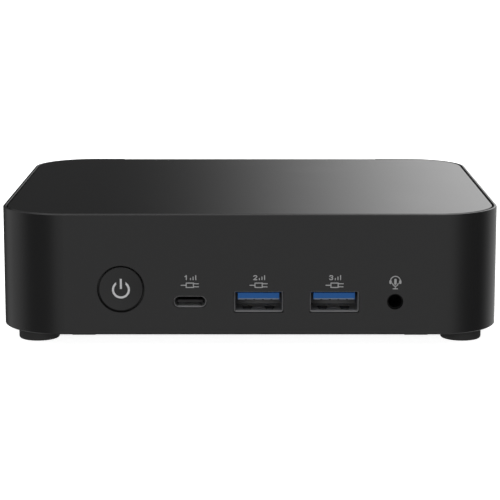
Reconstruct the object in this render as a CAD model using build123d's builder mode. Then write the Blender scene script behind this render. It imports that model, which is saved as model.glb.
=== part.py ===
from build123d import *
import os

# Slim palm-size mini PC. Millimetres, +Z up, front face at the lowest Y.
# The origin is the centre of the footprint, on the surface that the feet stand on.

os.makedirs("parts", exist_ok=True)

# ---- Driving dimensions: the case ----
case_w = 135.5
case_d = 115.7
case_top = 36.0
case_bottom = 3.35
corner_r = 18.0
wall = 2.0
front_y = -case_d / 2
back_y = case_d / 2
inner_front_y = front_y + wall
inner_back_y = back_y - wall
edge_round = 0.3
edge_bevel = 0.2
rim_round = 0.2

# Allowances: how far a cut runs past a face, how deep joined features overlap, press clearance
cut_over = 1.0
weld = 0.1
slip = 0.02

# Top: a lid dropped in flush inside a thin rim, on a ledge.
rim_w = 0.85
lid_gap = 0.45
lid_t = 2.1
ledge_t = 1.3
ledge_reach = 4.0
lid_rib_t = 1.2
lid_rib_h = 1.0
lid_rib_gap = 0.4
lid_round = 0.25

# Bottom cover, feet and posts
cover_t = 1.5
cover_gap = 0.25
foot_x = 57.86
foot_y = 45.5
foot_r = 5.55
post_x = 46.5
post_y = 51.9
post_r = 4.4
post_pilot_r = 1.25
post_pilot_depth = 12.0
post_clear = 0.6
foot_round = 0.6
cover_screw_r = 1.5
cover_screw_fit = 0.15
cover_screw_len = 9.0
cover_head_r = 2.8
cover_head_t = 0.7
cover_head_fit = 0.25
screw_sink = 0.1
cross_slot = (3.2, 0.6)
cross_depth = 0.5
cover_vent_pitch = (7.0, 3.4)
cover_vent_count = (6, 7)
cover_vent_slot = (5.6, 1.6)
mount_spacing_x = 60.0
mount_spacing_y = 40.0
mount_hole_r = 1.25
mount_boss_r = 3.2
mount_boss_h = 3.0

# Front row
button_x = -34.55
button_z = 15.78
button_hole_r = 6.4
button_r = 5.95
button_travel = 0.5
port_z = 12.25
oval_port_x = -16.1
data_port_x = (2.3, 22.6)
jack_x = 38.86
jack_z = 12.38
jack_bore_r = 1.8
jack_depth = 12.5
jack_hole_r = 2.15
jack_body = (6.4, 5.4)
jack_back_t = 1.0
jack_collar_r = 2.0
jack_collar_len = 1.6
body_gap = 0.1

# Button: the cap, its flange and stem, the symbol and the switch behind
button_set_back = 0.1
dish_depth = 0.35
flange_r = 7.2
flange_t = 0.8
stem_r = 1.4
stem_len = 3.2
stem_z = 12.9
symbol_r = 2.4
symbol_w = 0.56
symbol_t = 0.5
symbol_drop = 0.2
symbol_gap = (2.5, 1.9)
symbol_bar = (0.2, 2.95)
plunger_r = 0.8
plunger_len = 1.3
switch_body = (6.0, 4.3, 3.4)
switch_gap = 0.7
switch_bore = 2.2

# Side vents and the two toes on the lower front edge
vent_rows = 3
vent_pitch_z = 2.65
vent_z = 11.45
vent_count = 12
vent_pitch_y = 7.2
vent_slot = (5.4, 1.35)
toe_x = 44.6
toe_y = 1.2
toe_w = 6.2
toe_d = 1.8
toe_h = 0.12

# Standard connector sections: outer width, outer height, sheet thickness
data_port_w = 13.14
data_port_h = 5.72
data_port_t = 0.3
data_port_len = 14.0
oval_port_w = 8.8
oval_port_h = 3.2
oval_port_t = 0.24
oval_port_len = 8.0
shell_recess = 1.1
cut_gap = 0.2
cut_lap = 0.1
lip_bevel = 0.24
window_x = 3.0
window_near = 1.9
window_far = 3.1
window_len = 5.8
window_start = 1.7
latch_y = 4.1
latch_slot = (1.7, 0.8)
port_corner_r = 0.5
block_start = 9.6
block_r = 0.3
tongue = (11.1, 1.84)
tongue_rise = 1.3
tongue_set_back = 0.7
tongue_len = 9.2
contact = (1.0, 0.2)
contact_rise = 0.28
contact_start = 2.2
contact_len = 7.4
contact_pitch = 2.3
contact_count = 4
oval_lead = 0.1
oval_block_start = 5.8
oval_block_t = 2.0
oval_tongue = (6.7, 0.7, 0.3)
oval_tongue_set_back = 0.5
oval_leg_w = 8.0
oval_leg_t = 1.6
oval_leg_drop = 1.2

# Rear row, seen from the front: x of each connector
rear_half_w = 40.7
rear_gap = 0.3
rear_top_drop = 0.15
rear_port_z = 12.1
dc_x = 34.6
video_one_x = 21.0
video_two_x = 2.4
lan_x = -16.2
rear_data_port_x = -32.6
stack_z = (8.55, 16.05)
lan_w = 15.9
lan_h = 13.4
lan_z = 12.3
lan_depth = 20.0
lan_t = 0.3
lan_hole_w = 11.9
lan_hole_h = 7.4
lan_hole_depth = 14.0
lan_hole_z = lan_z - 1.2
lan_latch = (6.2, 3.0)
lan_back_t = 0.5
lan_contact = 0.5
lan_contact_pitch = 1.02
lan_contact_count = 8
lan_contact_start = 3.0
lan_contact_len = 10.5
dc_hole_r = 3.7
dc_body = (9.0, 9.6)
dc_len = 12.0
dc_collar_r = 3.5
dc_collar_len = 1.8
dc_bore_r = 2.85
dc_depth = 11.0
dc_pin_r = 1.2
dc_pin_len = 9.8
dc_pin_round = 0.5
video_one_hole = (15.7, 6.5, 1.0)
video_two_hole = (16.8, 6.2, 0.3)
video_one_half = (7.55, 2.95)
video_one_step = 0.2
video_one_taper = 1.9
video_two_half = (8.2, 2.9)
video_two_cut = 1.8
video_len = 11.5
video_t = 0.35
video_block_start = 9.0
video_block_t = 2.3
video_tongue_w = (11.0, 12.2)
video_tongue_t = 1.3
video_tongue_rise = 0.35
video_tongue_set_back = 0.8
video_tongue_len = 8.5
grille_pitch = 3.1
grille_count = 24
grille_slot = (1.7, 9.6)
grille_z = 26.6

# Board and what it carries
board_z = 15.15
board_t = 1.2
board_top = board_z + board_t
board_half_w = 64.5
board_y = (-54.6, 52.6)
board_post_x = 61.0
board_post_y = 24.0
board_post_r = 3.0
board_post_web = (5.2, 2.0)
board_post_web_x = 2.5
board_pilot_depth = 7.0
board_hole_r = 1.6
board_screw_len = 6.0
board_screw_head_r = 2.75
board_screw_head_t = 1.7
board_corner = (60.0, 51.9)
board_corner_cut = (20.0, 16.0)
board_notch_gap = 0.8
lan_notch = (10.0, 22.0)
rear_data_notch = (8.0, 14.6)
dc_notch = (8.0, 13.0)
button_notch = (2.0, 16.0, 9.0)

# Cooler
cpu_x = 38.0
cpu_y = 2.0
substrate = (28.0, 24.0, 1.2)
die = (15.0, 11.0, 0.8)
plate = (40.0, 36.0, 3.0)
plate_t = 2.4
fan_x = -12.0
fan_y = 8.0
fan_z = 19.3
fan_h = 13.0
fan_r = 27.0
intake_r = 18.5
hub_r = 10.5
impeller_r = 23.0
impeller_gap = 0.8
blade_count = 37
blade_t = 0.55
blade_angle = 28.0
blade_gap = (3.5, 0.5)
disc_z = 4.0
disc_t = 0.8
hub_wall = 1.0
hub_top_t = 0.8
hub_lift = 0.4
scroll_t = 1.1
base_t = 0.9
top_t = 0.8
outlet_w = 46.0
outlet_gap = 0.6
bearing_r = 3.0
bearing_h = 6.0
shaft_r = 1.2
shaft_lift = 0.3
bearing_clearance = 0.05
fin_pitch = 2.0
fin_t = 0.4
fin_x = (-36.0, 24.0)
fin_y = (44.0, 54.6)
fin_z = (20.6, 31.6)
pipe_r = 2.1
pipe_fit = 0.05
pipe_start = 16.0
pipe_inset = 2.0
# Each pipe: offset from the processor's X, depth it runs along the fins at, bend radius
pipe_runs = ((0.0, 51.6, 9.0), (-7.0, 47.0, 6.5))

# Plug-in parts under the board
memory_x = 0.0
memory_y = (-38.5, -4.0)
memory_w = 69.6
module_t = 1.1
module_len = 30.0
module_y = 15.2
module_lift = 1.65
memory_chip = (9.6, 13.0, 1.0)
memory_chip_y = 17.0
memory_chip_pitch = 16.5
socket_drop = 5.2
socket_d = 5.0
arm = (1.6, 20.0)
arm_x = 1.2
arm_y = 11.0
card_t = 0.8
card_z = board_z - 3.4
card_socket_drop = 4.2
card_chip_t = 1.0
card_screw_r = 1.6
card_head_r = 2.4
card_head_t = 0.9
card_hole_r = 1.7
card_inset = 0.3
drive_x = 50.5
drive_y = -36.0
drive_len = 78.0
radio_x = -50.5
radio_y = -33.0
radio_len = 30.0
card_w = 22.0
drive_chips = ((14.0, 10.0), (32.0, 18.0), (56.0, 18.0))
radio_chips = ((15.0, 15.0),)
chip_side_gap = 3.0
cell_x = -51.0
cell_y = 12.5
cell_r = 10.0
cell_t = 3.2
cell_round = 0.5
cell_base_t = 1.2
cell_wall = (10.2, 11.4)
cell_wall_h = 3.4
cell_window = (30.0, 13.0)

# Small board parts
choke = (7.0, 6.6, 0.8)
choke_h = 3.0
choke_pitch = 9.0
choke_count = 4
choke_y = -28.0
aerial_size = (34.0, 7.0, 0.5)
aerial_z = 26.0


def outline(inset, radius):
    """Plan of the case, stepped in evenly by inset, in the current sketch."""
    RectangleRounded(case_w - 2 * inset, case_d - 2 * inset, radius)


def upright(y):
    """Upright plane at depth y: local x is X, local y is Z, and it faces the front."""
    return Plane.XZ.offset(-y)


def save(piece, label):
    """Labels a finished piece and writes its STEP file."""
    piece.part.label = label
    export_step(piece.part, "parts/" + label + ".step")


# ---- Housing: walls, rim, ledge, posts, front openings and side vents ----
rim_r = corner_r - rim_w
ledge_top = case_top - lid_t
ledge_bottom = ledge_top - ledge_t

with BuildPart() as housing:
    with BuildSketch(Plane.XY.offset(case_bottom)):
        outline(0, corner_r)
    extrude(amount=case_top - case_bottom)
    fillet(housing.faces().sort_by(Axis.Z)[-1].edges(), radius=edge_round)
    chamfer(housing.faces().sort_by(Axis.Z)[0].edges(), length=edge_bevel)
    with BuildSketch(Plane.XY.offset(ledge_top)):
        outline(rim_w, rim_r)
    extrude(amount=lid_t + cut_over, mode=Mode.SUBTRACT)
    fillet(housing.faces().sort_by(Axis.Z)[-1].inner_wires()[0].edges(), radius=rim_round)
    with BuildSketch(Plane.XY.offset(case_bottom - cut_over)):
        outline(wall, corner_r - wall)
    extrude(amount=ledge_bottom - case_bottom + cut_over, mode=Mode.SUBTRACT)
    with BuildSketch(Plane.XY.offset(ledge_bottom - cut_over)):
        outline(ledge_reach, corner_r - ledge_reach)
    extrude(amount=ledge_t + 2 * cut_over, mode=Mode.SUBTRACT)

    # Posts for the cover screws and the board screws, hanging from the ledge
    with BuildSketch(Plane.XY.offset(case_bottom + cover_t)):
        with GridLocations(2 * post_x, 2 * post_y, 2, 2):
            Circle(post_r)
    extrude(amount=ledge_bottom - case_bottom - cover_t + 2 * weld)
    with BuildSketch(Plane.XY.offset(board_top)):
        with GridLocations(2 * board_post_x, 2 * board_post_y, 2, 2):
            Circle(board_post_r)
        with GridLocations(2 * (board_post_x + board_post_web_x), 2 * board_post_y, 2, 2):
            Rectangle(*board_post_web)
    extrude(amount=ledge_bottom - board_top + 2 * weld)
    with BuildSketch(Plane.XY.offset(case_bottom + cover_t)):
        with GridLocations(2 * post_x, 2 * post_y, 2, 2):
            Circle(post_pilot_r)
    extrude(amount=post_pilot_depth, mode=Mode.SUBTRACT)
    with BuildSketch(Plane.XY.offset(board_top)):
        with GridLocations(2 * board_post_x, 2 * board_post_y, 2, 2):
            Circle(post_pilot_r)
    extrude(amount=board_pilot_depth, mode=Mode.SUBTRACT)

    # Front openings
    with BuildSketch(upright(front_y - cut_over)):
        with Locations((button_x, button_z)):
            Circle(button_hole_r)
        with Locations((oval_port_x, port_z)):
            SlotOverall(oval_port_w + cut_gap, oval_port_h + cut_gap)
        with Locations((data_port_x[0], port_z), (data_port_x[1], port_z)):
            RectangleRounded(data_port_w + 2 * cut_lap, data_port_h + 2 * cut_lap, port_corner_r)
        with Locations((jack_x, jack_z)):
            Circle(jack_hole_r)
    extrude(amount=-(wall + 2 * cut_over), mode=Mode.SUBTRACT)

    # Gap in the back wall and rim that the rear panel fills
    with BuildSketch(Plane.XY.offset(case_bottom - cut_over)):
        with Locations((0, back_y)):
            Rectangle(2 * rear_half_w, 2 * wall)
    extrude(amount=case_top - case_bottom + 2 * cut_over, mode=Mode.SUBTRACT)

    # Three rows of vent slots through both side walls
    with BuildSketch(Plane.YZ):
        with Locations((0, vent_z)):
            with GridLocations(vent_pitch_y, vent_pitch_z, vent_count, vent_rows):
                SlotOverall(*vent_slot)
    extrude(amount=case_w, both=True, mode=Mode.SUBTRACT)

    # Two shallow toes on the lower front edge
    with BuildSketch(Plane.XY.offset(case_bottom - toe_h)):
        with Locations((-toe_x, front_y + toe_y), (toe_x, front_y + toe_y)):
            Rectangle(toe_w, toe_d)
    extrude(amount=toe_h + edge_bevel + weld)

save(housing, "housing")

# ---- Top lid: flat panel with a locating rib inside the ledge opening ----
lid_inset = rim_w + lid_gap
rib_inset = ledge_reach + lid_rib_gap
rib_inner = rib_inset + lid_rib_t

with BuildPart() as top_lid:
    with BuildSketch(Plane.XY.offset(ledge_top)):
        outline(lid_inset, corner_r - lid_inset)
    extrude(amount=lid_t)
    fillet(top_lid.faces().sort_by(Axis.Z)[-1].edges(), radius=lid_round)
    with BuildSketch(Plane.XY.offset(ledge_top - lid_rib_h)):
        outline(rib_inset, corner_r - rib_inset)
        RectangleRounded(case_w - 2 * rib_inner, case_d - 2 * rib_inner, corner_r - rib_inner,
                         mode=Mode.SUBTRACT)
        with GridLocations(2 * post_x, 2 * post_y, 2, 2):
            Circle(post_r + post_clear, mode=Mode.SUBTRACT)
    extrude(amount=lid_rib_h)
save(top_lid, "top_lid")

# ---- Rear panel: connector openings below, exhaust grille above ----
panel_y = inner_back_y


def rear_plane(y):
    """Upright plane at depth y that faces the back; local x runs along -X."""
    return Plane(origin=(0, y, 0), x_dir=(-1, 0, 0), z_dir=(0, 1, 0))


with BuildPart() as rear_panel:
    with BuildSketch(Plane.XY.offset(case_bottom)):
        with Locations((0, panel_y + wall / 2)):
            Rectangle(2 * (rear_half_w - rear_gap), wall)
    extrude(amount=case_top - rear_top_drop - case_bottom)
    with BuildSketch(Plane.XY.offset(ledge_top)):
        with Locations((0, panel_y)):
            Rectangle(2 * rear_half_w, 2 * (wall - rim_w))
    extrude(amount=lid_t + cut_over, mode=Mode.SUBTRACT)
    with BuildSketch(rear_plane(back_y + cut_over)):
        with Locations((-dc_x, rear_port_z)):
            Circle(dc_hole_r)
        with Locations((-video_one_x, rear_port_z)):
            RectangleRounded(*video_one_hole)
        with Locations((-video_two_x, rear_port_z)):
            RectangleRounded(*video_two_hole)
        with Locations((-lan_x, lan_z)):
            Rectangle(lan_w + 2 * cut_gap, lan_h + 2 * cut_gap)
        with Locations((-rear_data_port_x, stack_z[0]), (-rear_data_port_x, stack_z[1])):
            RectangleRounded(data_port_w + 2 * cut_gap, data_port_h + 2 * cut_gap, port_corner_r)
        with Locations((0, grille_z)):
            with GridLocations(grille_pitch, 1, grille_count, 1):
                SlotOverall(grille_slot[1], grille_slot[0], rotation=90)
    extrude(amount=-(wall + 2 * cut_over), mode=Mode.SUBTRACT)
save(rear_panel, "rear_panel")

# ---- Bottom cover: vented plate with screw seats and threaded mounting bosses ----
cover_inset = wall + cover_gap
cover_top = case_bottom + cover_t

with BuildPart() as bottom_cover:
    with BuildSketch(Plane.XY.offset(case_bottom)):
        outline(cover_inset, corner_r - cover_inset)
    extrude(amount=cover_t)
    with BuildSketch(Plane.XY.offset(cover_top)):
        with GridLocations(mount_spacing_x, mount_spacing_y, 2, 2):
            Circle(mount_boss_r)
    extrude(amount=mount_boss_h - cover_t)
    with BuildSketch(Plane.XY.offset(case_bottom - cut_over)):
        with GridLocations(mount_spacing_x, mount_spacing_y, 2, 2):
            Circle(mount_hole_r)
        with GridLocations(2 * post_x, 2 * post_y, 2, 2):
            Circle(cover_screw_r + cover_screw_fit)
        with GridLocations(*cover_vent_pitch, *cover_vent_count):
            SlotOverall(*cover_vent_slot)
    extrude(amount=mount_boss_h + 3 * cut_over, mode=Mode.SUBTRACT)
    with BuildSketch(Plane.XY.offset(case_bottom - cut_over)):
        with GridLocations(2 * post_x, 2 * post_y, 2, 2):
            Circle(cover_head_r + cover_head_fit)
    extrude(amount=cut_over + screw_sink + cover_head_t, mode=Mode.SUBTRACT)
save(bottom_cover, "bottom_cover")

with BuildPart() as cover_screws:
    with BuildSketch(Plane.XY.offset(case_bottom + screw_sink)):
        with GridLocations(2 * post_x, 2 * post_y, 2, 2):
            Circle(cover_head_r)
    extrude(amount=cover_head_t)
    with BuildSketch(Plane.XY.offset(case_bottom + screw_sink)):
        with GridLocations(2 * post_x, 2 * post_y, 2, 2):
            Circle(post_pilot_r - slip)
    extrude(amount=cover_screw_len)
    with BuildSketch(Plane.XY.offset(case_bottom)):
        with GridLocations(2 * post_x, 2 * post_y, 2, 2):
            Rectangle(*cross_slot)
            Rectangle(cross_slot[1], cross_slot[0])
    extrude(amount=cross_depth, mode=Mode.SUBTRACT)
save(cover_screws, "cover_screws")


def make_foot(side, end, label):
    """One rubber foot with a rounded lower edge, stuck under the cover."""
    with BuildPart() as foot:
        with BuildSketch():
            with Locations((side * foot_x, end * foot_y)):
                Circle(foot_r)
        extrude(amount=case_bottom)
        fillet(foot.faces().sort_by(Axis.Z)[0].edges(), radius=foot_round)
    save(foot, label)


make_foot(-1, -1, "foot_front_left")
make_foot(1, -1, "foot_front_right")
make_foot(-1, 1, "foot_rear_left")
make_foot(1, 1, "foot_rear_right")

# ---- Power button: dished cap with a stem, symbol inlay, switch and its plunger ----
flange_y = inner_front_y + body_gap
switch_y = flange_y + flange_t + stem_len
button_face_y = front_y + button_set_back
dish_r = button_r**2 / (2 * dish_depth)


def symbol_profile():
    """Open ring and upright bar of the power symbol, in the current sketch."""
    with Locations((button_x, button_z - symbol_drop)):
        Circle(symbol_r)
        Circle(symbol_r - symbol_w, mode=Mode.SUBTRACT)
        with Locations((0, symbol_r)):
            Rectangle(*symbol_gap, mode=Mode.SUBTRACT)
        with Locations((0, sum(symbol_bar) / 2)):
            Rectangle(symbol_w, symbol_bar[1] - symbol_bar[0])


with BuildPart() as power_button:
    with BuildSketch(upright(button_face_y)):
        with Locations((button_x, button_z)):
            Circle(button_r)
    extrude(amount=-(flange_y - button_face_y + weld))
    chamfer(power_button.faces().sort_by(Axis.Y)[0].edges(), length=edge_bevel)
    with BuildSketch(upright(flange_y)):
        with Locations((button_x, button_z)):
            Circle(flange_r)
    extrude(amount=-flange_t)
    with BuildSketch(upright(flange_y + flange_t - weld)):
        with Locations((button_x, stem_z)):
            Circle(stem_r)
    extrude(amount=-(stem_len + weld))
    with Locations((button_x, button_face_y + dish_depth - dish_r, button_z)):
        Sphere(dish_r, mode=Mode.SUBTRACT)
    with BuildSketch(upright(button_face_y - cut_over)):
        symbol_profile()
    extrude(amount=-(cut_over + dish_depth + symbol_t), mode=Mode.SUBTRACT)
save(power_button, "power_button")

with BuildPart() as power_symbol:
    with BuildSketch(upright(button_face_y)):
        symbol_profile()
    extrude(amount=-(dish_depth + symbol_t))
    with Locations((button_x, button_face_y + dish_depth - slip - dish_r, button_z)):
        Sphere(dish_r, mode=Mode.SUBTRACT)
save(power_symbol, "power_symbol")

with BuildPart() as switch_plunger:
    with BuildSketch(upright(switch_y)):
        with Locations((button_x, stem_z)):
            Circle(plunger_r)
    extrude(amount=-plunger_len)
save(switch_plunger, "switch_plunger")

with BuildPart() as power_switch:
    with BuildSketch(upright(switch_y + switch_gap)):
        with Locations((button_x, board_z - switch_body[1] / 2)):
            Rectangle(switch_body[0], switch_body[1])
    extrude(amount=-switch_body[2])
    with BuildSketch(upright(switch_y)):
        with Locations((button_x, stem_z)):
            Circle(plunger_r + bearing_clearance)
    extrude(amount=-switch_bore, mode=Mode.SUBTRACT)
save(power_switch, "power_switch")


# ---- Connectors: a sheet shell round an insulator with its tongue ----
def data_port_shell(x, z_values, mouth_y, inward, label):
    """Rectangular sheet tubes at (x, z), open at mouth_y, running inward (+1 is +Y)."""
    with BuildPart() as shell:
        with BuildSketch(upright(mouth_y)):
            with Locations(*[(x, z) for z in z_values]):
                RectangleRounded(data_port_w, data_port_h, port_corner_r)
        extrude(amount=-inward * data_port_len)
        with BuildSketch(upright(mouth_y - inward * cut_over)):
            with Locations(*[(x, z) for z in z_values]):
                RectangleRounded(data_port_w - 2 * data_port_t, data_port_h - 2 * data_port_t,
                                 port_corner_r / 2)
        extrude(amount=-inward * (data_port_len + cut_over - data_port_t), mode=Mode.SUBTRACT)
        # Bevelled lips at the mouth
        mouth = shell.faces().filter_by(Axis.Y).sort_by(Axis.Y)
        mouth = mouth[:len(z_values)] if inward > 0 else mouth[-len(z_values):]
        chamfer([edge for face in mouth for edge in face.inner_wires()[0].edges()], length=lip_bevel)
        # Windows that the grip springs are cut from, in the upper and lower sheet, and a latch hole
        near = mouth_y + inward * window_start
        far = near + inward * window_len
        with BuildSketch(Plane.XY.offset(min(z_values) - data_port_h)):
            for middle in (x - window_x, x + window_x):
                Polygon((middle - window_near / 2, near), (middle + window_near / 2, near),
                        (middle + window_far / 2, far), (middle - window_far / 2, far), align=None)
            with Locations((x, mouth_y + inward * latch_y)):
                SlotOverall(*latch_slot)
        extrude(amount=max(z_values) - min(z_values) + 2 * data_port_h, mode=Mode.SUBTRACT)
    save(shell, label)


def data_port_insulator(x, z_values, mouth_y, inward, label):
    """Back block and upper tongue of each opening."""
    with BuildPart() as insulator:
        with BuildSketch(upright(mouth_y + inward * block_start)):
            with Locations(*[(x, z) for z in z_values]):
                RectangleRounded(data_port_w - 2 * (data_port_t + slip),
                                 data_port_h - 2 * (data_port_t + slip), block_r)
        extrude(amount=-inward * (data_port_len - block_start - data_port_t))
        with BuildSketch(upright(mouth_y + inward * tongue_set_back)):
            with Locations(*[(x, z + tongue_rise) for z in z_values]):
                Rectangle(*tongue)
        extrude(amount=-inward * tongue_len)
    save(insulator, label)


def data_port_contacts(x, z_values, mouth_y, inward, label):
    """Spring blades under each tongue."""
    with BuildPart() as contacts:
        with BuildSketch(upright(mouth_y + inward * contact_start)):
            with Locations(*[(x, z + contact_rise) for z in z_values]):
                with GridLocations(contact_pitch, 1, contact_count, 1):
                    Rectangle(*contact)
        extrude(amount=-inward * contact_len)
    save(contacts, label)


front_mouth_y = front_y + shell_recess
back_mouth_y = back_y - shell_recess
for name, x in zip(("left", "right"), data_port_x):
    data_port_shell(x, (port_z,), front_mouth_y, 1, "data_port_" + name + "_shell")
    data_port_insulator(x, (port_z,), front_mouth_y, 1, "data_port_" + name + "_insulator")
    data_port_contacts(x, (port_z,), front_mouth_y, 1, "data_port_" + name + "_contacts")
data_port_shell(rear_data_port_x, stack_z, back_mouth_y, -1, "rear_data_port_shell")
data_port_insulator(rear_data_port_x, stack_z, back_mouth_y, -1, "rear_data_port_insulator")
data_port_contacts(rear_data_port_x, stack_z, back_mouth_y, -1, "rear_data_port_contacts")

with BuildPart() as oval_port_shell:
    with BuildSketch(upright(front_mouth_y - oval_lead)):
        with Locations((oval_port_x, port_z)):
            SlotOverall(oval_port_w, oval_port_h)
    extrude(amount=-oval_port_len)
    with BuildSketch(upright(front_mouth_y - cut_over)):
        with Locations((oval_port_x, port_z)):
            SlotOverall(oval_port_w - 2 * oval_port_t, oval_port_h - 2 * oval_port_t)
    extrude(amount=-(oval_port_len + 2 * cut_over), mode=Mode.SUBTRACT)
save(oval_port_shell, "oval_port_shell")

with BuildPart() as oval_port_insulator:
    with BuildSketch(upright(front_mouth_y + oval_block_start)):
        with Locations((oval_port_x, port_z)):
            SlotOverall(oval_port_w - 2 * (oval_port_t + slip), oval_port_h - 2 * (oval_port_t + slip))
    extrude(amount=-oval_block_t)
    with BuildSketch(upright(front_mouth_y + oval_tongue_set_back)):
        with Locations((oval_port_x, port_z)):
            RectangleRounded(*oval_tongue)
    extrude(amount=-(oval_block_start - oval_tongue_set_back + weld))
    with BuildSketch(upright(front_mouth_y + oval_port_len - oval_lead)):
        with Locations((oval_port_x, (port_z + board_z - oval_leg_drop) / 2)):
            Rectangle(oval_leg_w, board_z - port_z + oval_leg_drop)
    extrude(amount=-oval_leg_t)
save(oval_port_insulator, "oval_port_insulator")

with BuildPart() as audio_jack:
    with BuildSketch(upright(inner_front_y + body_gap)):
        with Locations((jack_x, jack_z)):
            Rectangle(*jack_body)
    extrude(amount=-(jack_depth + jack_back_t))
    with BuildSketch(upright(inner_front_y + body_gap + weld)):
        with Locations((jack_x, jack_z)):
            Circle(jack_collar_r)
    extrude(amount=jack_collar_len)
    with BuildSketch(upright(front_y)):
        with Locations((jack_x, jack_z)):
            Circle(jack_bore_r)
    extrude(amount=-jack_depth, mode=Mode.SUBTRACT)
save(audio_jack, "audio_jack")

# ---- Rear connectors ----
with BuildPart() as dc_inlet:
    with BuildSketch(rear_plane(inner_back_y - body_gap)):
        with Locations((-dc_x, rear_port_z)):
            Rectangle(*dc_body)
    extrude(amount=-dc_len)
    with BuildSketch(rear_plane(inner_back_y - body_gap - weld)):
        with Locations((-dc_x, rear_port_z)):
            Circle(dc_collar_r)
    extrude(amount=dc_collar_len)
    with BuildSketch(rear_plane(back_y + cut_over)):
        with Locations((-dc_x, rear_port_z)):
            Circle(dc_bore_r)
    extrude(amount=-(dc_depth + cut_over), mode=Mode.SUBTRACT)
save(dc_inlet, "dc_inlet")

with BuildPart() as dc_inlet_pin:
    with BuildSketch(rear_plane(back_y - dc_depth)):
        with Locations((-dc_x, rear_port_z)):
            Circle(dc_pin_r)
    extrude(amount=dc_pin_len)
    fillet(dc_inlet_pin.faces().sort_by(Axis.Y)[-1].edges(), radius=dc_pin_round)
save(dc_inlet_pin, "dc_inlet_pin")


def video_one_profile(inset):
    """D-like section of the wide video connector, in the current sketch."""
    half = video_one_half[0] - inset
    top = video_one_half[1] - inset
    narrow = half - video_one_taper
    Polygon((-half, top), (half, top), (half, video_one_step), (narrow, -top), (-narrow, -top),
            (-half, video_one_step), align=None)


def video_two_profile(inset):
    """Section of the display connector, with one cut corner, in the current sketch."""
    half = video_two_half[0] - inset
    top = video_two_half[1] - inset
    Polygon((-half, top), (half, top), (half, video_two_cut - top), (half - video_two_cut, -top),
            (-half, -top), align=None)


def video_port(x, profile, tongue_w, label):
    """Sheet shell and insulator of one rear video connector."""
    section = Plane(origin=(x, back_mouth_y, rear_port_z), x_dir=(-1, 0, 0), z_dir=(0, 1, 0))
    with BuildPart() as shell:
        with BuildSketch(section):
            profile(0)
        extrude(amount=-video_len)
        with BuildSketch(section.offset(cut_over)):
            profile(video_t)
        extrude(amount=-(video_len + 2 * cut_over), mode=Mode.SUBTRACT)
    save(shell, label + "_shell")
    with BuildPart() as insulator:
        with BuildSketch(section.offset(-video_block_start)):
            profile(video_t + slip)
        extrude(amount=-video_block_t)
        with BuildSketch(section.offset(-video_tongue_set_back)):
            with Locations((0, video_tongue_rise)):
                Rectangle(tongue_w, video_tongue_t)
        extrude(amount=-video_tongue_len)
    save(insulator, label + "_insulator")


video_port(video_one_x, video_one_profile, video_tongue_w[0], "video_port_one")
video_port(video_two_x, video_two_profile, video_tongue_w[1], "video_port_two")

with BuildPart() as lan_shield:
    with BuildSketch(rear_plane(back_mouth_y)):
        with Locations((-lan_x, lan_z)):
            Rectangle(lan_w, lan_h)
    extrude(amount=-lan_depth)
    with BuildSketch(rear_plane(back_mouth_y + cut_over)):
        with Locations((-lan_x, lan_z)):
            Rectangle(lan_w - 2 * lan_t, lan_h - 2 * lan_t)
    extrude(amount=-(lan_depth + 2 * cut_over), mode=Mode.SUBTRACT)
save(lan_shield, "lan_shield")

with BuildPart() as lan_insert:
    with BuildSketch(rear_plane(back_mouth_y - lan_t)):
        with Locations((-lan_x, lan_z)):
            Rectangle(lan_w - 2 * (lan_t + slip), lan_h - 2 * (lan_t + slip))
    extrude(amount=-(lan_depth - lan_t - lan_back_t))
    with BuildSketch(rear_plane(back_mouth_y + cut_over)):
        with Locations((-lan_x, lan_hole_z)):
            Rectangle(lan_hole_w, lan_hole_h)
        with Locations((-lan_x, lan_hole_z - lan_hole_h / 2)):
            Rectangle(*lan_latch)
    extrude(amount=-(lan_hole_depth + cut_over), mode=Mode.SUBTRACT)
save(lan_insert, "lan_insert")

with BuildPart() as lan_contacts:
    with BuildSketch(rear_plane(back_mouth_y - lan_contact_start)):
        with Locations((-lan_x, lan_hole_z + (lan_hole_h - lan_contact) / 2 - weld)):
            with GridLocations(lan_contact_pitch, 1, lan_contact_count, 1):
                Rectangle(lan_contact, lan_contact)
    extrude(amount=-lan_contact_len)
save(lan_contacts, "lan_contacts")

# ---- Board with screw holes and notches for posts and tall sockets ----
with BuildPart() as motherboard:
    with BuildSketch(Plane.XY.offset(board_z)):
        with Locations((0, sum(board_y) / 2)):
            Rectangle(2 * board_half_w, board_y[1] - board_y[0])
        with GridLocations(2 * post_x, 2 * post_y, 2, 2):
            Circle(post_r + post_clear, mode=Mode.SUBTRACT)
        with GridLocations(2 * board_corner[0], 2 * board_corner[1], 2, 2):
            Rectangle(*board_corner_cut, mode=Mode.SUBTRACT)
        with GridLocations(2 * board_post_x, 2 * board_post_y, 2, 2):
            Circle(board_hole_r, mode=Mode.SUBTRACT)
        with Locations((lan_x, back_y - lan_notch[0])):
            Rectangle(lan_w + board_notch_gap, lan_notch[1], mode=Mode.SUBTRACT)
        with Locations((rear_data_port_x, back_y - rear_data_notch[0])):
            Rectangle(data_port_w + board_notch_gap, rear_data_notch[1], mode=Mode.SUBTRACT)
        with Locations((dc_x, back_y - dc_notch[0])):
            Rectangle(dc_body[0] + board_notch_gap, dc_notch[1], mode=Mode.SUBTRACT)
        with Locations((button_x, front_y + button_notch[0])):
            Rectangle(button_notch[1], button_notch[2], mode=Mode.SUBTRACT)
    extrude(amount=board_t)
save(motherboard, "motherboard")

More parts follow.
